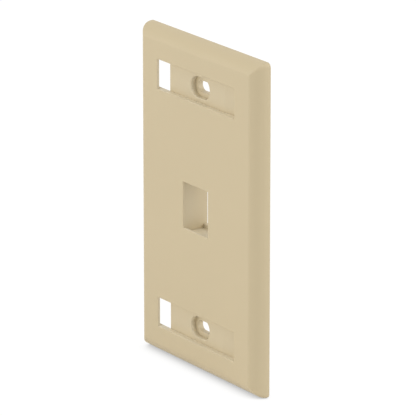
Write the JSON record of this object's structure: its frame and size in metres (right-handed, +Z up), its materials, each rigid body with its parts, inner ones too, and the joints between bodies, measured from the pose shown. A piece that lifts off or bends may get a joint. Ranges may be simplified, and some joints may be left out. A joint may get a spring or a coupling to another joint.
{
  "type": "keystone faceplate",
  "caption": "Ivory single-gang wall plate with a keystone jack port in the middle and a recessed label window round each slotted screw hole.",
  "frame": {"origin": "middle of the plate on the wall plane, half way between the two screw slots", "axes": "+Z up along the line of the two screws, +X to the right as one faces the plate, front face towards -Y"},
  "size_m": [0.0698, 0.0098, 0.1142],
  "materials": {
    "ivory_plastic": "ivory moulded ABS with a fine satin sheen"
  },
  "bodies": {
    "root": {"faceplate": "ivory_plastic"}
  },
  "joints": []
}
